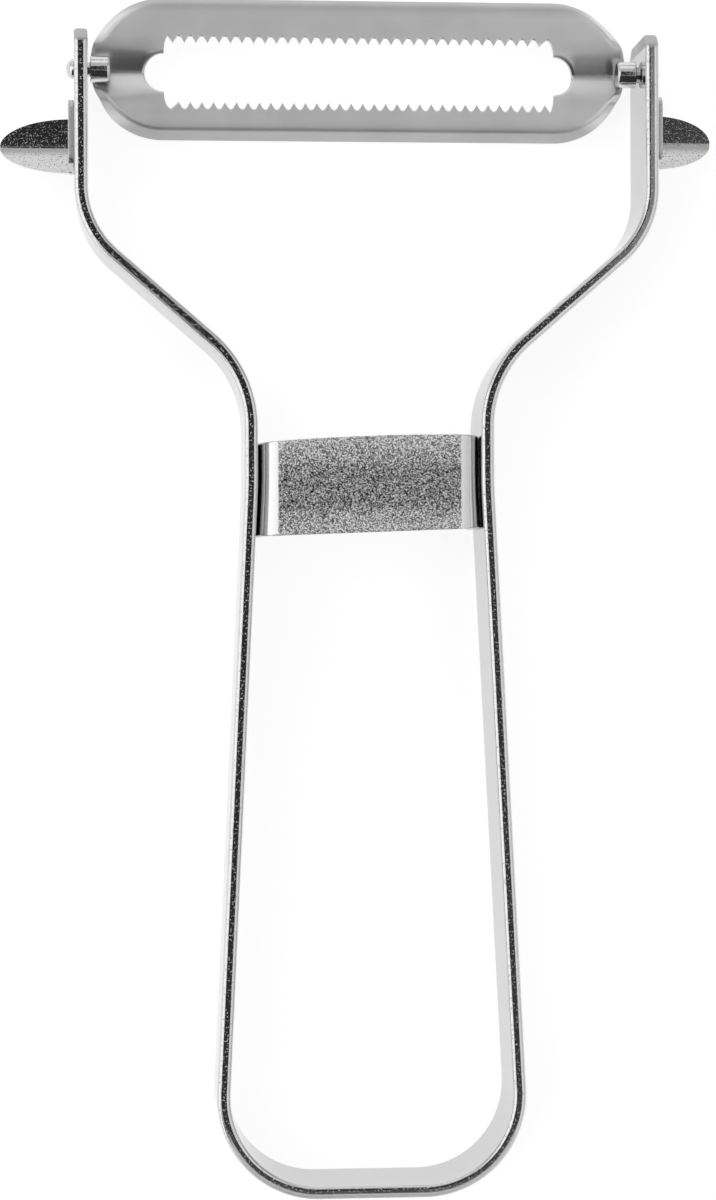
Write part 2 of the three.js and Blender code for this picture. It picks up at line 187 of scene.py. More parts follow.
# Finishes. Grains, depths and distances are in millimetres, and tones are greys from 0 to 1. A band is where
# a mask begins and where it is full, as distances from an edge or a line, or as values of a grain.
GRAZING = 0.8
SHEAR_GRAIN = 0.15
STRIP_TONES = (0.3, 0.85)
STRIP_EDGE_BAND = (0.6, 0.2)
STRIP_TIP_BAND = (1.8, 1.3)
STRIP_RIPPLE = 6
STRIP_RIPPLE_DEPTH = 0.02
STRIP_PIT = 0.22
STRIP_PIT_BAND = (0.63, 0.75)
STRIP_PIT_DEPTH = 0.06
# Bands where the outside of the base's edges is rough and painted lighter, a painted highlight
PAINTED_LIGHT_OUTWARD_BAND = (0.05, 0.25)
PAINTED_LIGHT_DOWNWARD_BAND = (2.5, 6.5)
PLATE_TONES = (0, 1)
PLATE_BEND_TONE = 0.75
PLATE_BEND_BAND = (0.15, -0.1)
PLATE_FRONT_BAND = (1, 0.4)
PLATE_BORDER_BAND = (1.5, 5.5)
PLATE_GRIT = 0.1
PLATE_GRIT_BAND = (0.25, 0.95)
PLATE_CLOUD = 0.7
PLATE_BLAST = 0.16
PLATE_BLAST_DEPTH = 0.07
BLADE_TONES = (0.45, 0.98)
BLADE_LINE = 0.09
BLADE_LINE_STRETCH = (120, 1, 1)
BLADE_LINE_DEPTH = 0.004
BLADE_CLOUD = 5
# Band of the painted shade and added roughness over the lip and its bend
BLADE_LIP_SHADE_BAND = (2.6, 1)
TROUGH_END_BAND = (1, -2.5)
TROUGH_SHADE_WIDTH = 1.25 * TROUGH_HALF_WIDTH_OUTER
TROUGH_SHADE_DEPTH = 0.25
STUD_TONES = (0.66, 0.78)
STUD_RING = 0.12
STUD_RING_STRETCH = (1, 60, 60)
STUD_SPECK = 0.2
STUD_SPECK_BAND = (0.5, 0.7)
STUD_MARK_DEPTH = 0.01
GOUGER_TONES = (0.62, 0.52)
GOUGER_PIT = 0.16
GOUGER_PIT_BAND = (0.6, 0.72)
GOUGER_PEEL = 0.5
GOUGER_SHEAR_BAND = (0.5, 0.2)
GOUGER_MARK_DEPTH = 0.03

# The camera looks down on the peeler from the left of its middle, and the peeler lies a little askew.
# Its lens is for a 36 mm long side.
CAMERA_PLACE = (-27.8, -1.98, 346.4)
CAMERA_TARGET = (-0.85, -0.97, 11)
CAMERA_ROLL = math.radians(0.22)
CAMERA_LENS = 89.5
CAMERA_NEAR = 10
SENSOR = 36

# Floor: half its side in metres, the grey that it throws back, and the grey and glow that are seen
FLOOR_HALF = 40
FLOOR_CARD = 0.8
FLOOR_SHADE = 0.45
FLOOR_GLOW = 0.77

# Light tent. Its parts are told by the X, Y and Z of a unit vector that points at them, and a band is where
# a part begins and where it is full.
OPENING_X = 0.01
OPENING_Y = 0.07
OPENING_X_BAND = (0.15, 0.21)
OPENING_Y_BAND = (0.25, 0.35)
OPENING_Z_BAND = (0, 0.1)
WEDGE_X = -0.15
WEDGE_X_BAND = (0.35, 0.5)
WEDGE_Y_BAND = (0.16, 0.3)
WEDGE_Z_BAND = (0.02, 0.08)
BACK_NEAR_BAND = (0.3, 0.45)
BACK_FAR_BAND = (0.7, 0.85)
WALL_Z_BAND = (-0.05, 0.4)
DARK_LEVEL = 0.03


def smooth(low, high, value):
    """Eased step: 0 below low, 1 above high, and 3t^2 - 2t^3 of the share t between."""
    share = np.clip((value - low) / (high - low), 0, 1)
    return share * share * (3 - 2 * share)


def bent_line(corners, radii):
    """Straight runs between corners, each inner corner replaced by the arc of its radius that touches both
    runs. Gives the distance along the line, its points and its heading, all as arrays."""
    corners = np.array(corners, float)
    runs = np.diff(corners, axis=0)
    headings = np.arctan2(runs[:, 1], runs[:, 0])
    points = [corners[:1]]
    turns = [headings[:1]]
    for corner, before, after, radius in zip(corners[1:-1], headings[:-1], headings[1:], radii):
        turn = (after - before + math.pi) % (2 * math.pi) - math.pi
        tangent = radius * math.tan(abs(turn) / 2)
        start = corner - tangent * np.array([math.cos(before), math.sin(before)])
        side = math.copysign(radius, turn)
        centre = start + side * np.array([-math.sin(before), math.cos(before)])
        heading = before + turn * np.linspace(0, 1, max(2, math.ceil(abs(turn) / ARC_STEP)) + 1)
        arc = centre + side * np.column_stack([np.sin(heading), -np.cos(heading)])
        points.append(arc)
        turns.append(heading)
    points.append(corners[-1:])
    turns.append(headings[-1:])
    points = np.concatenate(points)
    steps = np.hypot(*np.diff(points, axis=0).T)
    return np.concatenate([[0], np.cumsum(steps)]), points, np.unwrap(np.concatenate(turns))


def strip_line():
    """The strip's middle line, from the left tip round the base to the right tip."""
    half = STRIP_THICKNESS / 2
    right = [
        (BASE_SPAN / 2 - half, base_height + half),
        (NECK_SPAN / 2 - half, neck_height),
        (NECK_SPAN / 2 - half, waist_height),
        (arm_outside - half, shoulder_height),
        (arm_outside - half, tip_height),
    ]
    left = [(-x, y) for x, y in reversed(right)]
    radii = [BASE_RADIUS, NECK_RADIUS, WAIST_RADIUS, SHOULDER_RADIUS]
    return bent_line(left + right, radii[::-1] + radii)


def base_bend_centre():
    """Centre of the right base bend: in from the corner of the middle line by the bend's tangent."""
    half = STRIP_THICKNESS / 2
    turn = math.atan2(LEG_RISE - half, (NECK_SPAN - BASE_SPAN) / 2)
    return BASE_SPAN / 2 - half - BASE_RADIUS * math.tan(turn / 2), base_height + half + BASE_RADIUS


def leg_inside(height):
    """Half the clear width between the legs at a height, read off the right leg's inner face."""
    _, points, heading = strip_line()
    face = points + STRIP_THICKNESS / 2 * np.column_stack([-np.sin(heading), np.cos(heading)])
    leg = face[(face[:, 0] > 0) & (face[:, 1] > base_height + BASE_RADIUS)]
    return np.interp(height, leg[:, 1], leg[:, 0])


def plate_half_width():
    """Half the width of the cross plate, a weld's gap short of the legs at its height."""
    return float(leg_inside(plate_height)) - PLATE_WELD_GAP


def round_edge(radius):
    """Steps of a quarter circle at a sheared edge, from the face inwards: how far each is drawn in, which is
    radius (1 - cos), and how far it is short of the end, radius (1 - sin)."""
    quarter = np.linspace(0, math.pi / 2, EDGE_STEPS)
    return radius * (1 - np.cos(quarter)), radius * (1 - np.sin(quarter))


def rounded_ring(half_width, half_height, radius):
    """A rectangle with round corners, turning left, for each entry of three arrays: quarter arcs round the
    four corner centres, with one point on the flat beside each end of an arc to keep its shading flat."""
    quarter = np.linspace(0, math.pi / 2, EDGE_STEPS + 1)
    angle = np.concatenate([quarter[:1], quarter, quarter[-1:]])
    beside = np.concatenate([[-SUPPORT], np.zeros(EDGE_STEPS + 1), [SUPPORT]])
    turn = np.repeat(np.arange(4), len(angle)) * math.pi / 2
    angle = np.tile(angle, 4) + turn
    beside = np.tile(beside, 4)
    right = np.sign(np.cos(turn + math.pi / 4))
    up = np.sign(np.sin(turn + math.pi / 4))
    a, b, r = (np.atleast_1d(np.asarray(v, float))[:, None] for v in (half_width, half_height, radius))
    across = right * (a - r) + r * np.cos(angle) - beside * np.sin(angle)
    height = up * (b - r) + r * np.sin(angle) + beside * np.cos(angle)
    return across, height


def skin(rings, wrapped=False):
    """Faces over a stack of rings, outward where each ring turns left seen from the stack's end. A wrapped
    stack joins its last ring to its first. An open one is closed at each end by rungs across the ring, from
    each point to the one as far from the ring's start the other way round."""
    count, size = rings.shape[:2]
    index = np.arange(count * size).reshape(count, size)
    beside = np.roll(index, -1, axis=1)
    above = np.roll(index, -1, axis=0)
    diagonal = np.roll(beside, -1, axis=0)
    quads = np.stack([index, beside, diagonal, above], axis=-1)
    points = rings.reshape(-1, 3)
    if wrapped:
        return points, quads.reshape(-1, 4).tolist()
    near, far = index[:, :size // 2], index[:, ::-1][:, :size // 2]
    rungs = np.stack([near[:, :-1], near[:, 1:], far[:, 1:], far[:, :-1]], axis=-1)
    faces = np.concatenate([quads[:-1].reshape(-1, 4), rungs[0, :, ::-1], rungs[-1]])
    return points, faces.tolist()


def shade(mesh, sharp=SHARP_ANGLE):
    """Smooth shading, with the edges that bend more than the sharp angle kept crisp."""
    mesh.shade_smooth()
    mesh.set_sharp_from_angle(angle=sharp)


def mesh_object(name, surface, mirrored=False, aside=0.0, sharp=SHARP_ANGLE):
    """An object at the origin whose mesh holds the surface in its place, scaled to metres. A mirrored one is
    flipped in X with its faces turned round. X is counted from the middle of the strip, or from a place
    aside of it."""
    points, faces = surface
    if mirrored:
        points = points * [-1, 1, 1]
        faces = [face[::-1] for face in faces]
    points = points + [middle + aside, 0, 0]
    mesh = bpy.data.meshes.new(name)
    mesh.from_pydata((points * MM).tolist(), [], faces)
    mesh.validate()
    shade(mesh, sharp)
    made = bpy.data.objects.new(name, mesh)
    bpy.context.scene.collection.objects.link(made)
    return made


def combine(piece, tool, operation):
    """Cuts the tool out of the piece, or joins it to it, and removes the tool."""
    modifier = piece.modifiers.new(operation, "BOOLEAN")
    modifier.operation = operation
    modifier.solver = "EXACT"
    modifier.use_self = True
    modifier.object = tool
    depsgraph = bpy.context.evaluated_depsgraph_get()
    mesh = bpy.data.meshes.new_from_object(piece.evaluated_get(depsgraph))
    piece.modifiers.clear()
    piece.data = mesh
    shade(mesh)
    bpy.data.objects.remove(tool)
    return piece


def strip_surface():
    """A rounded rectangle carried along the bent line. Within a chamfer's length of a tip its width falls off
    one for one, and within the tip's round it shrinks along a quarter circle."""
    distance, points, heading = strip_line()
    total = distance[-1]
    _, tip_steps = round_edge(TIP_ROUND)
    from_tip = np.concatenate([tip_steps, TIP_CHAMFER + SUPPORT * np.array([-1, 0, 1])])
    evenly = np.arange(0, total, RUN_STEP)
    stations = np.unique(np.concatenate([distance, evenly, from_tip, total - from_tip]).round(5))
    x = np.interp(stations, distance, points[:, 0])
    y = np.interp(stations, distance, points[:, 1])
    turn = np.interp(stations, distance, heading)
    tip = np.minimum(stations, total - stations)
    chamfer = np.clip(TIP_CHAMFER - tip, 0, None)
    rest = np.clip(TIP_ROUND - tip, 0, TIP_ROUND)
    inset = TIP_ROUND - np.sqrt(TIP_ROUND ** 2 - rest ** 2)
    across, height = rounded_ring(
        STRIP_THICKNESS / 2 - inset, strip_width / 2 - chamfer - inset, STRIP_EDGE_RADIUS - inset)
    rings = np.stack([
        x[:, None] - across * np.sin(turn)[:, None],
        y[:, None] + across * np.cos(turn)[:, None],
        strip_width / 2 + height,
    ], axis=-1)
    return skin(rings)


def round_bar(profile):
    """Circles on the pivot axis, one for each place and radius of the profile."""
    place, radius = np.array(profile, float).T
    angle = np.linspace(0, 2 * math.pi, ROUND_SIDES, endpoint=False)
    rings = np.stack([
        np.repeat(place[:, None], ROUND_SIDES, axis=1),
        pivot_height + radius[:, None] * np.cos(angle),
        pivot_level + radius[:, None] * np.sin(angle),
    ], axis=-1)
    return skin(rings)


def drill_surface():
    """A bar through both arms on the pivot axis, as wide as the shank and its clearance."""
    radius = SHANK_DIAMETER / 2 + SHANK_CLEARANCE
    return round_bar([(-2 * arm_outside, radius), (2 * arm_outside, radius)])


def stud_surface():
    """A turned stud: a shoulder with a rounded end inside the arm, a shank through it and an elliptical dome
    outside."""
    shoulder = STUD_DIAMETER / 2
    shank = SHANK_DIAMETER / 2
    inside = arm_inside - STUD_PLAY
    face = inside - STUD_LENGTH
    outside = arm_outside + DOME_PLAY
    quarter = np.linspace(0, math.pi / 2, EDGE_STEPS + 1)
    chamfer = np.column_stack([
        face + STUD_CHAMFER * (1 - np.cos(quarter)), shoulder - STUD_CHAMFER * (1 - np.sin(quarter))])
    dome = np.column_stack([
        outside + DOME_HEIGHT * np.sin(quarter[:-1]), DOME_DIAMETER / 2 * np.cos(quarter[:-1])])
    back = [
        (inside - SUPPORT, shoulder),
        (inside, shoulder - SUPPORT),
        (inside, shank + SUPPORT),
        (inside + SUPPORT, shank),
        (outside - SUPPORT, shank),
        (outside, shank + SUPPORT),
    ]
    return round_bar(np.concatenate([chamfer, back, dome]))


def plate_surface():
    """A channel of sheet: its outline at an offset from the outer face is a leg, a bend that ends at a
    crease, the web, a crease and bend and a leg. Rings between the two faces are carried along the legs,
    drawn in along quarter circles at both sheared edges, tilted so that the right end sits higher, crowned
    by 1 - share^2 towards the top edge, and spread at the ends to meet the legs."""
    half_width = plate_half_width()
    back = plate_front - PLATE_DEPTH
    inset, short = round_edge(PLATE_EDGE_ROUND)
    along = PLATE_LENGTH / 2 - short
    run = np.linspace(-along[0], along[0], PLATE_RUN_STEPS)
    stations = np.concatenate([-along[::-1], run[1:-1], along])
    insets = np.concatenate([inset[::-1], np.zeros(PLATE_RUN_STEPS - 2), inset])
    bend = np.linspace(0, math.pi / 2 - PLATE_CREASE, BEND_STEPS + 1)
    bend_radius = PLATE_BEND / (1 - math.sin(PLATE_CREASE))
    bend_height = plate_front - bend_radius * math.cos(PLATE_CREASE)
    web = np.linspace(-1, 1, PLATE_RUN_STEPS)[1:-1] * (half_width - PLATE_BEND)

    def outline(offset):
        """Across and up for the line at each offset, from the left leg's foot to the right one's."""
        offset = offset[:, None]
        radius = bend_radius - offset
        zero = np.zeros_like(offset)
        leg = half_width - offset
        left = -(half_width - bend_radius) - radius * np.cos(bend)
        rise = bend_height + radius * np.sin(bend)
        across = np.concatenate([-leg, -leg, left, web + zero, -left[:, ::-1], leg, leg], axis=1)
        foot = back + insets[:, None]
        below = bend_height - SUPPORT + zero
        flat = plate_front - offset + 0 * web
        up = np.concatenate([foot, below, rise, flat, rise[:, ::-1], below, foot], axis=1)
        return across, up

    outer = outline(insets)
    inner = outline(PLATE_SHEET - insets)
    across = np.concatenate([outer[0], inner[0][:, ::-1]], axis=1)
    up = np.concatenate([outer[1], inner[1][:, ::-1]], axis=1)
    share = across / half_width
    crown = PLATE_TOP_CROWN * (1 - share ** 2) * np.clip(stations / PLATE_LENGTH + 0.5, 0, 1)[:, None]
    height = plate_height + stations[:, None] + share * PLATE_RISE / 2 + crown
    spread = leg_inside(height) - PLATE_WELD_GAP - half_width
    fitted = across + np.sign(share) * np.minimum(1, np.abs(share)) ** PLATE_END_FIT * spread
    return skin(np.stack([fitted, height, up], axis=-1))


def trough_drop(x, y):
    """Drop of the blade's sheet into the trough in which a stud lies: across it the depth times
    (1 - share)^power, with the crease rounded as sqrt(y^2 + crease^2), eased in along the blade, and wider
    towards the rim."""
    along = smooth(end_centre - LOBE_RADIUS / 2, end_centre + LOBE_RADIUS, np.abs(x))
    share = np.clip((np.abs(x) - end_centre) / end_radius, 0, 1)
    half = TROUGH_HALF_WIDTH_INNER + share * (TROUGH_HALF_WIDTH_OUTER - TROUGH_HALF_WIDTH_INNER)
    across = (np.hypot(y, TROUGH_CREASE) - TROUGH_CREASE) / (half - TROUGH_CREASE)
    return trough_depth * along * (1 - np.minimum(1, across)) ** TROUGH_HOLLOW


def toothed_side():
    """The slot's edge on one long side, from the right to the left: teeth at tip + depth |sin(pi phase)|,
    with a quarter ellipse from the end lobe up to the gullets' depth at each end."""
    shift = -stagger / 2
    deepest = TIP_GAP / 2 + TOOTH_DEPTH
    quarter = np.linspace(0, math.pi / 2, TEETH_STEPS)
    share = (1 + np.cos(quarter)) / 2
    rise = LOBE_RADIUS + np.sin(quarter) * (deepest - LOBE_RADIUS)
    rightmost = shift + toothed_half_length
    leftmost = shift - toothed_half_length
    phase = np.linspace(0, gullet_count, gullet_count * TEETH_STEPS + 1)
    x = np.concatenate([
        rightmost + share * (slot_half_length - rightmost),
        rightmost - phase * TOOTH_PITCH,
        leftmost + share[::-1] * (-slot_half_length - leftmost),
    ])
    y = np.concatenate([rise, TIP_GAP / 2 + TOOTH_DEPTH * np.abs(np.sin(math.pi * phase)), rise[::-1]])
    return x, y


def end_arc(radius, height):
    """Half a circle round the right end, centred at a height over the pivot axis, and its angles. The angles
    lean by arcsin(height / radius) (1 - turn^2), so that the middle one meets the axis."""
    turn = np.linspace(-1, 1, END_STEPS + 1)
    angle = turn * math.pi / 2 - math.asin(height / radius) * (1 - turn ** 2)
    return radius * np.cos(angle), height + radius * np.sin(angle), angle


def blade_stations():
    """Pairs of points round the blade, one on the slot's edge and one on the rim, with how far the lip is
    turned down there and how far the edge is ground: half circles at the ends and toothed sides between."""
    x, y = toothed_side()
    lobe_x, lobe_y, _ = end_arc(LOBE_RADIUS, -SLOT_FALL)
    rim_x, rim_y, rim_angle = end_arc(end_radius, BLADE_RISE)
    lobe_x = slot_half_length + lobe_x
    rim_x = end_centre + rim_x
    flat = np.full_like(x, end_radius)
    inner = np.column_stack([
        np.concatenate([lobe_x, x, -lobe_x[::-1], -x]),
        np.concatenate([lobe_y, y - SLOT_FALL, lobe_y[::-1], -y - SLOT_FALL]),
    ])
    outer = np.column_stack([
        np.concatenate([rim_x, x, -rim_x[::-1], -x]),
        np.concatenate([rim_y, BLADE_RISE + flat, rim_y[::-1], BLADE_RISE - flat]),
    ])
    fade = smooth(LIP_FADE_FROM, LIP_FADE_TO, np.abs(rim_angle))
    lip = np.concatenate([fade, np.ones_like(x), fade[::-1], np.ones_like(x)])
    ground = smooth(0, GRIND_FADE_TEETH * TOOTH_PITCH, slot_half_length - np.abs(x))
    grind = np.concatenate([0 * fade, ground, 0 * fade, ground])
    return inner, outer, lip[:, None], grind[:, None]


def blade_surface():
    """A closed ring of sections from the slot to the rim and back: ground edge, flat web, bend, lip with a
    round end, and the underside at the sheet's thickness. The whole drops into the troughs at its ends."""
    inner, outer, lip, grind = blade_stations()
    span = np.hypot(*(outer - inner).T)[:, None]
    direction = (outer - inner) / span
    bend = np.linspace(0, LIP_ANGLE, BEND_STEPS + 1)
    bend_run = LIP_RADIUS * math.sin(LIP_ANGLE)
    bend_drop = LIP_RADIUS * (1 - math.cos(LIP_ANGLE))
    run = bend_run + (LIP_DROP - bend_drop) / math.tan(LIP_ANGLE)
    slope = np.arctan(lip * math.tan(LIP_ANGLE))
    nose = np.linspace(math.pi / 2, -math.pi / 2, EDGE_STEPS + 2)
    half = BLADE_SHEET / 2
    middle_reach = span - half * np.cos(slope) - half * np.sin(slope)
    middle_height = -LIP_DROP * lip + half * np.sin(slope) - half * np.cos(slope)
    nose_reach = middle_reach + half * (np.cos(nose) * np.cos(slope) + np.sin(nose) * np.sin(slope))
    nose_height = middle_height + half * (np.sin(nose) * np.cos(slope) - np.cos(nose) * np.sin(slope))
    web = np.linspace(0, 1, WEB_STEPS)
    top_reach = np.concatenate(
        [EDGE_BREAK + (span - run - EDGE_BREAK) * web, span - run + LIP_RADIUS * np.sin(bend[1:])], axis=1)
    top_height = np.concatenate([0 * span * web, -LIP_RADIUS * (1 - np.cos(bend[1:])) * lip], axis=1)
    bend_slope = np.arctan(lip * np.tan(bend[::-1]))
    under_reach = span - run + LIP_RADIUS * np.sin(bend[::-1]) - BLADE_SHEET * np.sin(bend_slope)
    under_height = -LIP_RADIUS * (1 - np.cos(bend[::-1])) * lip - BLADE_SHEET * np.cos(bend_slope)
    ground = EDGE_BREAK + GRIND_RUN * grind
    web_reach = ground + (span - run - ground) * web[::-1][1:]
    web_height = -BLADE_SHEET + 0 * web_reach
    land = EDGE_BREAK + (BLADE_SHEET - 2 * EDGE_BREAK) * (1 - grind) + (EDGE_LAND - EDGE_BREAK) * grind
    reach = np.concatenate([top_reach, nose_reach, under_reach, web_reach, 0 * span, 0 * span], axis=1)
    height = np.concatenate(
        [top_height, nose_height, under_height, web_height, -land, -EDGE_BREAK + 0 * span], axis=1)
    x = inner[:, :1] + direction[:, :1] * reach
    y = inner[:, 1:] + direction[:, 1:] * reach
    z = height - WEB_DROP - trough_drop(x, y)
    return skin(np.stack([x, y + pivot_height, z + pivot_level], axis=-1), wrapped=True)


def foot_surface(gouger_height):
    """A flat tab against the arm's outer face, set off from the gouger's height: rounded rectangles stacked
    through the sheet, drawn in along quarter circles at both faces."""
    inset, depth = round_edge(FOOT_EDGE_ROUND)
    place = np.concatenate([depth[::-1], GOUGER_SHEET - depth])
    inset = np.concatenate([inset[::-1], inset])
    along, up = rounded_ring(FOOT_LENGTH / 2 - inset, FOOT_WIDTH / 2 - inset, FOOT_CORNER - inset)
    rings = np.stack([
        arm_outside + GOUGER_WELD_GAP + place[:, None] + 0 * along,
        gouger_height + FOOT_OFFSET + along,
        FOOT_CLEARANCE + FOOT_WIDTH / 2 + up,
    ], axis=-1)
    return skin(rings)


def scoop_surface(gouger_height, length):
    """A half-ellipse of sheet from the foot to the nose at a length, hollowed to the front. At an angle of
    the ellipse its half width goes as cos(angle) and its reach as sin(angle), and the sheet drops by
    depth (1 - |cos(angle) share|^power) at a share of the half width, a straight gutter up to the nose."""
    angle = np.linspace(0, SCOOP_NOSE * math.pi / 2, SCOOP_STEPS)[:, None]
    root = GOUGER_SHEET / 2
    reach = root + (length - root) * np.sin(angle) / math.sin(SCOOP_NOSE * math.pi / 2)
    half = SCOOP_WIDTH / 2 * np.cos(angle)
    share = np.linspace(-1, 1, SCOOP_SIDES + 1)
    drop = SCOOP_DEPTH * (1 - np.abs(np.cos(angle) * share) ** SCOOP_HOLLOW)
    along = np.concatenate([half * share, half * share[::-1]], axis=1)
    up = SCOOP_RIM_FROM_FOOT - np.concatenate([drop, drop[:, ::-1] + GOUGER_SHEET], axis=1)
    rings = np.stack([
        arm_outside + GOUGER_WELD_GAP + reach + 0 * along,
        gouger_height + along[:, ::-1],
        FOOT_CLEARANCE + up[:, ::-1],
    ], axis=-1)
    return skin(rings)


class Wire:
    """A value in a node tree. Arithmetic on wires adds Math nodes, and node() adds any other node."""

    def __init__(self, tree, socket=None):
        self.tree = tree
        self.socket = socket

    def node(self, kind, settings=None, sockets=None, output=0):
        """Adds a node: its settings are set first, then each socket takes a value or a wire."""
        made = self.tree.nodes.new(kind)
        for name, value in (settings or {}).items():
            setattr(made, name, value)
        for name, value in (sockets or {}).items():
            if isinstance(value, Wire):
                self.tree.links.new(value.socket, made.inputs[name])
            else:
                made.inputs[name].default_value = value
        return Wire(self.tree, made.outputs[output])

    def feeds(self, shader, socket):
        self.tree.links.new(self.socket, shader.inputs[socket])

    def math(self, operation, first, second=0.0):
        return self.node("ShaderNodeMath", {"operation": operation}, {0: first, 1: second})

    def __add__(self, other):
        return self.math("ADD", self, other)

    def __radd__(self, other):
        return self.math("ADD", other, self)

    def __sub__(self, other):
        return self.math("SUBTRACT", self, other)

    def __rsub__(self, other):
        return self.math("SUBTRACT", other, self)

    def __mul__(self, other):
        return self.math("MULTIPLY", self, other)

    def __rmul__(self, other):
        return self.math("MULTIPLY", other, self)

    def __truediv__(self, other):
        return self.math("DIVIDE", self, other)

    def __rtruediv__(self, other):
        return self.math("DIVIDE", other, self)

    def __abs__(self):
        return self.math("ABSOLUTE", self)

    def root(self):
        return self.math("SQRT", self)

    def at_least(self, other):
        return self.math("MAXIMUM", self, other)

    def between(self, low, high):
        """Eased step from 0 at low to 1 at high."""
        return self.node(
            "ShaderNodeMapRange", {"interpolation_type": "SMOOTHSTEP"},
            {"Value": self, "From Min": low, "From Max": high})

    def nearing(self, edge, band):
        """Eased step from 0 to 1 towards an edge. The band says how far short of it the step begins and is
        full, and a negative distance lies past the edge."""
        begins, full = band
        return self.between(edge - begins, edge - full)

    def axis(self, name):
        return self.node("ShaderNodeSeparateXYZ", None, {"Vector": self}, output=name)

    def length(self, name):
        """The coordinate on an axis, in millimetres."""
        return self.axis(name) / MM

    def grain(self, size, detail=2.0, stretch=(1, 1, 1)):
        """Noise from 0 to 1 with features of a size in millimetres, drawn out along the axes by stretch."""
        scale = [1 / (size * MM * factor) for factor in stretch]
        spot = self.node("ShaderNodeMapping", None, {"Vector": self, "Scale": scale})
        return self.node("ShaderNodeTexNoise", None, {"Vector": spot, "Scale": 1.0, "Detail": detail})

    def grit(self, size):
        """A random value from 0 to 1 for each grain of a size in millimetres."""
        sockets = {"Vector": self, "Scale": 1 / (size * MM)}
        return self.node("ShaderNodeTexVoronoi", None, sockets, output="Color").axis("X")

    def grey(self, low, high):
        """A grey from the low tone at 0 to the high tone at 1. A Mix node has its colours in sockets 6 and 7
        and gives the mixed one in output 2."""
        sockets = {0: self, 6: (low, low, low, 1), 7: (high, high, high, 1)}
        return self.node("ShaderNodeMix", {"data_type": "RGBA"}, sockets, output=2)

    def dents(self, depth, normal=None):
        """Surface normals of this height, 0 to 1, over a depth in millimetres."""
        sockets = {"Height": self, "Distance": depth * MM}
        if normal is not None:
            sockets["Normal"] = normal
        return self.node("ShaderNodeBump", None, sockets)


def metal(name):
    """A metallic material, its shader and its Object coordinates. At a slant it mirrors only a share of the
    light, GRAZING."""
    material = bpy.data.materials.new(name)
    material.use_nodes = True
    tree = material.node_tree
    shader = tree.nodes["Principled BSDF"]
    shader.inputs["Metallic"].default_value = 1
    shader.inputs["Specular Tint"].default_value = (GRAZING, GRAZING, GRAZING, 1)
    return material, shader, Wire(tree).node("ShaderNodeTexCoord", output="Object")


def polished_strip():
    """Bright plated strip: mirror faces with a slow ripple, sheared edges with sparse pits, rough tips, and
    edges along the outside of the base made rough and painted lighter, a painted highlight."""
    material, shader, place = metal("polished_strip")
    edge = abs(place.length("Z") - pivot_level).nearing(pivot_level, STRIP_EDGE_BAND)
    height = place.length("Y")
    tip = height.nearing(tip_height, STRIP_TIP_BAND)
    bend_across, bend_height = base_bend_centre()
    sideways = (abs(place.length("X") - middle) - bend_across).at_least(0)
    downward = (bend_height - height).at_least(0)
    outward = (sideways * sideways + downward * downward).root() - BASE_RADIUS
    # Painted highlight: the outside of the base's edges is painted lighter, and is also made rough
    rough_painted_light = outward.between(*PAINTED_LIGHT_OUTWARD_BAND) * downward.between(*PAINTED_LIGHT_DOWNWARD_BAND) * edge
    pits = place.grain(STRIP_PIT, 1.0).between(*STRIP_PIT_BAND)
    shear = place.grain(SHEAR_GRAIN) * tip
    ripple = place.grain(STRIP_RIPPLE)
    tone = 0.75 - 0.37 * tip + 0.25 * rough_painted_light
    roughness = 0.04 + 0.04 * ripple + 0.03 * edge + 0.3 * tip + 0.5 * rough_painted_light
    waves = ripple.dents(STRIP_RIPPLE_DEPTH)
    tone.grey(*STRIP_TONES).feeds(shader, "Base Color")
    roughness.feeds(shader, "Roughness")
    (pits * edge + shear).dents(STRIP_PIT_DEPTH, waves).feeds(shader, "Normal")
    return material


def blasted_plate():
    """Sheet blasted to a sparkling grain over the web, lighter along its borders, with bright smooth
    bends."""
    material, shader, place = metal("blasted_plate")
    half_width = plate_half_width()
    across = place.length("X") - middle
    rise = PLATE_RISE / (2 * half_width) * across
    border = abs(place.length("Y") - plate_height - rise).between(*PLATE_BORDER_BAND)
    bend = abs(across).nearing(half_width - PLATE_BEND, PLATE_BEND_BAND)
    blasted = (1 - bend) * place.length("Z").nearing(plate_front, PLATE_FRONT_BAND)
    grit = place.grit(PLATE_GRIT).between(*PLATE_GRIT_BAND)
    cloud = 0.75 + 0.5 * place.grain(PLATE_CLOUD, 3.0)
    web_tone = 0.02 + 0.15 * border + (0.85 + 0.75 * border) * grit * cloud
    tone = PLATE_BEND_TONE + blasted * (web_tone - PLATE_BEND_TONE)
    roughness = 0.14 + blasted * (0.18 + (0.1 + 0.3 * border) * grit)
    tone.grey(*PLATE_TONES).feeds(shader, "Base Color")
    roughness.feeds(shader, "Roughness")
    ((place.grain(PLATE_BLAST) - 0.5) * blasted).dents(PLATE_BLAST_DEPTH).feeds(shader, "Normal")
    return material


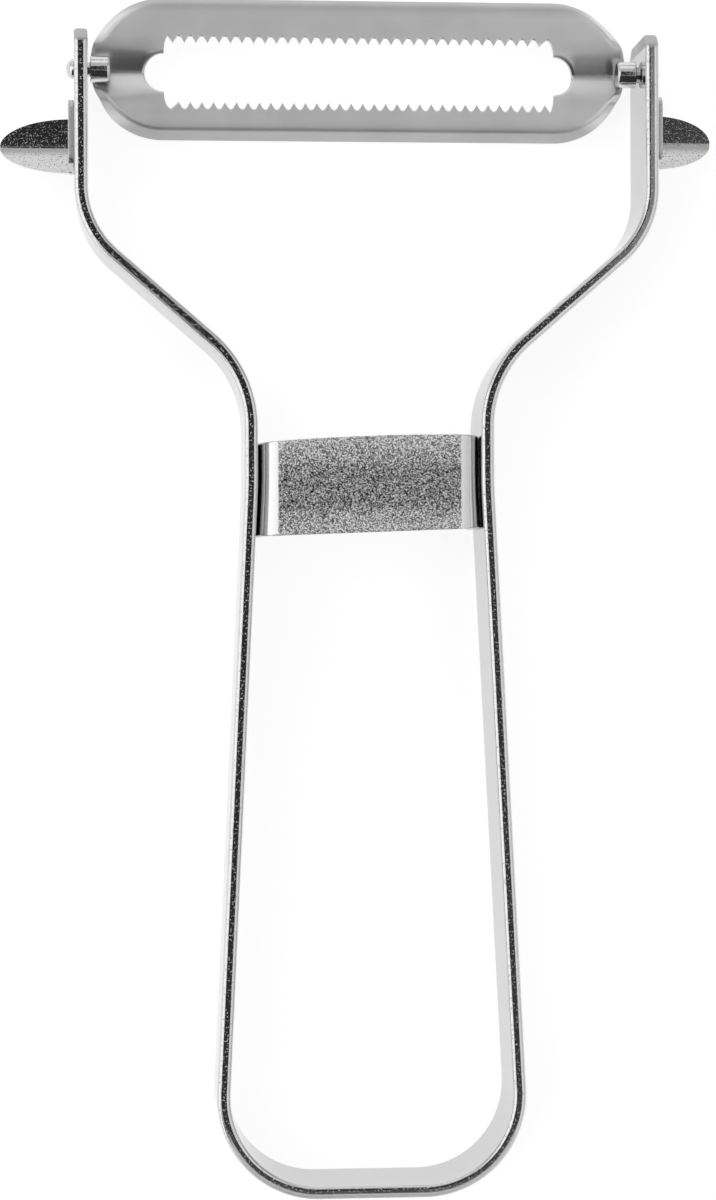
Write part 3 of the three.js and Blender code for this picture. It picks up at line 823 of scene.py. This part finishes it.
def blade_steel():
    """Satin blade steel with fine lines along the blade, rougher towards the lip and on it, and darker there
    as painted shade. The troughs at the ends are pressed to a soft crease by bumps and darkened as painted
    shade."""
    material, shader, place = metal("blade_steel")
    lines = place.grain(BLADE_LINE, 2.0, BLADE_LINE_STRETCH)
    cloud = place.grain(BLADE_CLOUD, 3.0)
    along = abs(place.length("X") - middle + BLADE_SLIDE).nearing(end_centre, TROUGH_END_BAND)
    above = place.length("Y") - pivot_height
    lip = abs(above - BLADE_RISE).nearing(end_radius, BLADE_LIP_SHADE_BAND)
    from_crease = (above * above + TROUGH_CREASE ** 2).root()
    hollow = (1 - from_crease / TROUGH_SHADE_WIDTH).at_least(0)
    # The trough mask bends the normals and lowers roughness. It also darkens the tone as painted shade.
    trough_and_painted_shade = hollow * along
    level = 1 - trough_and_painted_shade * (0.5 + 0.5 * hollow)
    # Painted shade: the tone is darker over the lip and its bend, and in the troughs at the ends
    tone = 0.55 + 0.25 * cloud - 0.45 * lip - 0.4 * trough_and_painted_shade
    roughness = 0.35 + 0.05 * cloud + 0.05 * lines + 0.15 * lip - 0.13 * trough_and_painted_shade
    tone.grey(*BLADE_TONES).feeds(shader, "Base Color")
    roughness.feeds(shader, "Roughness")
    lines.dents(BLADE_LINE_DEPTH, level.dents(TROUGH_SHADE_DEPTH)).feeds(shader, "Normal")
    return material


def stud_steel():
    """Turned studs, polished, with fine rings left by the tool."""
    material, shader, place = metal("stud_steel")
    rings = place.grain(STUD_RING, 1.0, STUD_RING_STRETCH)
    speck = place.grain(STUD_SPECK, 2.0).between(*STUD_SPECK_BAND)
    roughness = 0.1 + 0.1 * speck
    rings.grey(*STUD_TONES).feeds(shader, "Base Color")
    roughness.feeds(shader, "Roughness")
    (0.3 * speck + 0.2 * rings).dents(STUD_MARK_DEPTH).feeds(shader, "Normal")
    return material


def gouger_steel():
    """Plated pressed sheet with a slight orange peel and scattered pits, and a grainy sheared edge on the
    tab."""
    material, shader, place = metal("gouger_steel")
    pits = place.grain(GOUGER_PIT, 2.0).between(*GOUGER_PIT_BAND)
    peel = place.grain(GOUGER_PEEL)
    sheared = place.length("Z").nearing(foot_top, GOUGER_SHEAR_BAND)
    marks = 0.15 * peel + pits + sheared * place.grain(SHEAR_GRAIN)
    roughness = 0.13 + 0.12 * pits + 0.2 * sheared
    pits.grey(*GOUGER_TONES).feeds(shader, "Base Color")
    roughness.feeds(shader, "Roughness")
    marks.dents(GOUGER_MARK_DEPTH).feeds(shader, "Normal")
    return material


def dress(piece, material, node, body):
    """Gives a piece its material, hides the solid that it stands for and hangs it on the body that carries
    it.
    """
    piece.data.materials.clear()
    piece.data.materials.append(material)
    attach(piece, body)
    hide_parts(node)


def make_camera():
    """A camera that looks from its place to its target, with the peeler's length upright but for the roll."""
    data = bpy.data.cameras.new("camera")
    data.lens = CAMERA_LENS
    data.sensor_width = SENSOR
    data.clip_start = CAMERA_NEAR * MM
    camera = bpy.data.objects.new("camera", data)
    place = Vector(CAMERA_PLACE) * MM
    back = (place - Vector(CAMERA_TARGET) * MM).normalized()
    right = Vector((math.sin(CAMERA_ROLL), math.cos(CAMERA_ROLL), 0)).cross(back).normalized()
    up = back.cross(right)
    camera.matrix_world = Matrix.Translation(place) @ Matrix((right, up, back)).transposed().to_4x4()
    bpy.context.scene.collection.objects.link(camera)
    bpy.context.scene.camera = camera


def make_floor():
    """A wide pale floor. Seen directly or in the metal it is nearly white, less what the peeler shades. To
    other light it is a plain card."""
    corners = [(x * FLOOR_HALF, y * FLOOR_HALF, 0) for x, y in ((-1, -1), (1, -1), (1, 1), (-1, 1))]
    mesh = bpy.data.meshes.new("floor")
    mesh.from_pydata(corners, [], [(0, 1, 2, 3)])
    floor = bpy.data.objects.new("floor", mesh)
    bpy.context.scene.collection.objects.link(floor)
    material = bpy.data.materials.new("pale_floor")
    material.use_nodes = True
    tree = material.node_tree
    tree.nodes.remove(tree.nodes["Principled BSDF"])
    ray = Wire(tree).node("ShaderNodeLightPath", output="Is Camera Ray")
    rays = ray.socket.node.outputs
    seen = ray + Wire(tree, rays["Is Glossy Ray"]) + Wire(tree, rays["Is Transmission Ray"])
    card = ray.node("ShaderNodeBsdfDiffuse", None, {"Color": (FLOOR_CARD, FLOOR_CARD, FLOOR_CARD, 1)})
    shaded = ray.node("ShaderNodeBsdfDiffuse", None, {"Color": (FLOOR_SHADE, FLOOR_SHADE, FLOOR_SHADE, 1)})
    glow = ray.node("ShaderNodeEmission", None, {"Color": (1, 1, 1, 1), "Strength": FLOOR_GLOW})
    white = ray.node("ShaderNodeAddShader", None, {0: shaded, 1: glow})
    either = ray.node("ShaderNodeMixShader", None, {0: seen, 1: card, 2: white})
    either.feeds(tree.nodes["Material Output"], "Surface")
    mesh.materials.append(material)


def make_light():
    """A soft white tent round the peeler, brightest at the left. It is open and dark overhead, where the
    camera looks in, dark low down beyond the grip, and dimmer across the back."""
    world = bpy.data.worlds.new("studio")
    bpy.context.scene.world = world
    world.use_nodes = True
    tree = world.node_tree
    way = Wire(tree).node("ShaderNodeTexCoord", output="Generated")
    x, y, z = way.axis("X"), way.axis("Y"), way.axis("Z")
    opening_across = 1 - abs(x - OPENING_X).between(*OPENING_X_BAND)
    opening_along = 1 - abs(y - OPENING_Y).between(*OPENING_Y_BAND)
    overhead = opening_across * opening_along * z.between(*OPENING_Z_BAND)
    wedge_across = 1 - abs(x - WEDGE_X).between(*WEDGE_X_BAND)
    beyond = wedge_across * (0 - y).between(*WEDGE_Y_BAND) * z.between(*WEDGE_Z_BAND)
    dark = overhead.at_least(beyond)
    behind = y.between(*BACK_NEAR_BAND) * (1 - y.between(*BACK_FAR_BAND))
    wall = (1.05 - 0.35 * x) * (0.35 + 0.65 * z.between(*WALL_Z_BAND)) * (1 - 0.45 * behind)
    level = wall * (1 - dark) + DARK_LEVEL * dark
    colour = way.node("ShaderNodeCombineXYZ", None, {"X": level, "Y": level, "Z": level})
    colour.feeds(tree.nodes["Background"], "Color")


def main():
    """Sets the stage, then makes each piece with its finish in the place of its solid."""
    bpy.context.scene.view_settings.view_transform = "Standard"
    make_camera()
    make_floor()
    make_light()

    strip = mesh_object("bent_strip", strip_surface())
    strip = combine(strip, mesh_object("drill", drill_surface()), "DIFFERENCE")
    dress(strip, polished_strip(), "handle_strip", "frame")
    plate = mesh_object("blasted_channel", plate_surface())
    dress(plate, blasted_plate(), "cross_plate", "frame")
    blade = mesh_object("toothed_blade", blade_surface(), aside=-BLADE_SLIDE, sharp=BLADE_SHARP_ANGLE)
    dress(blade, blade_steel(), "blade", "blade_unit")
    stud_finish = stud_steel()
    gouger_finish = gouger_steel()
    for side, mirrored in (("right", False), ("left", True)):
        stud = mesh_object(f"turned_stud_{side}", stud_surface(), mirrored)
        dress(stud, stud_finish, f"pivot_stud_{side}", "blade_unit")
        height = tip_height - GOUGER_FROM_TIP[side]
        scoop = mesh_object(f"pressed_gouger_{side}", scoop_surface(height, SCOOP_REACH[side]), mirrored)
        scoop = combine(scoop, mesh_object("tab", foot_surface(height), mirrored), "UNION")
        dress(scoop, gouger_finish, f"eye_gouger_{side}", "frame")


main()
